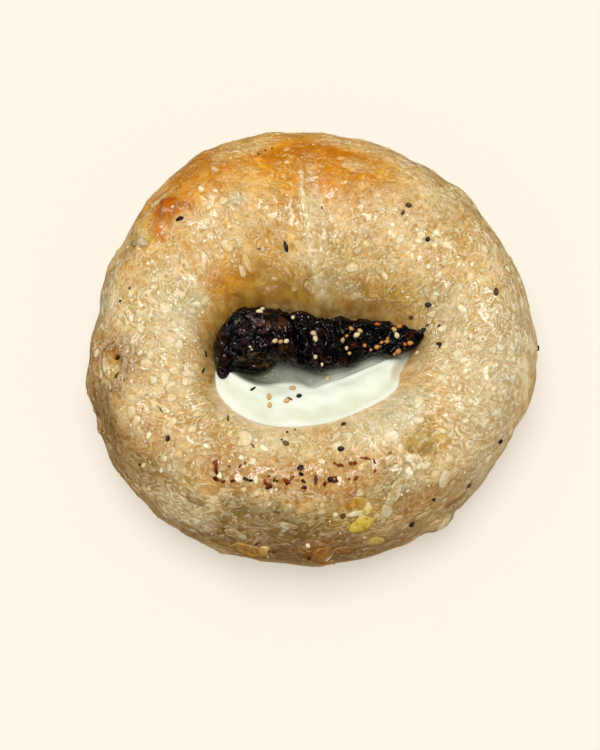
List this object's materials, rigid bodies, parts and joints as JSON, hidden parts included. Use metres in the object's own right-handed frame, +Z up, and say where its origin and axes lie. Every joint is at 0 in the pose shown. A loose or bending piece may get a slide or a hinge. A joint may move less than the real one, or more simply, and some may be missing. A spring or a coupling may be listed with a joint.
{
  "type": "bagel",
  "caption": "Hand-rolled baked bagel, its hole filled with smooth white cheese that holds a wrinkled dried fig half, with small seeds on top.",
  "frame": {"origin": "on the table, under the middle of the bagel's box", "axes": "+Z up; +X towards the fig's seedy tip; +Y towards the best-browned side of the ring"},
  "size_m": [0.1093, 0.109, 0.0355],
  "materials": {
    "crust": "baked crust, satin",
    "cheese": "smooth fresh cheese, glossy",
    "fig": "dark dried fig, sticky gloss"
  },
  "bodies": {
    "root": {"dough_ring": "crust", "cheese": "cheese", "fig": "fig"}
  },
  "joints": []
}
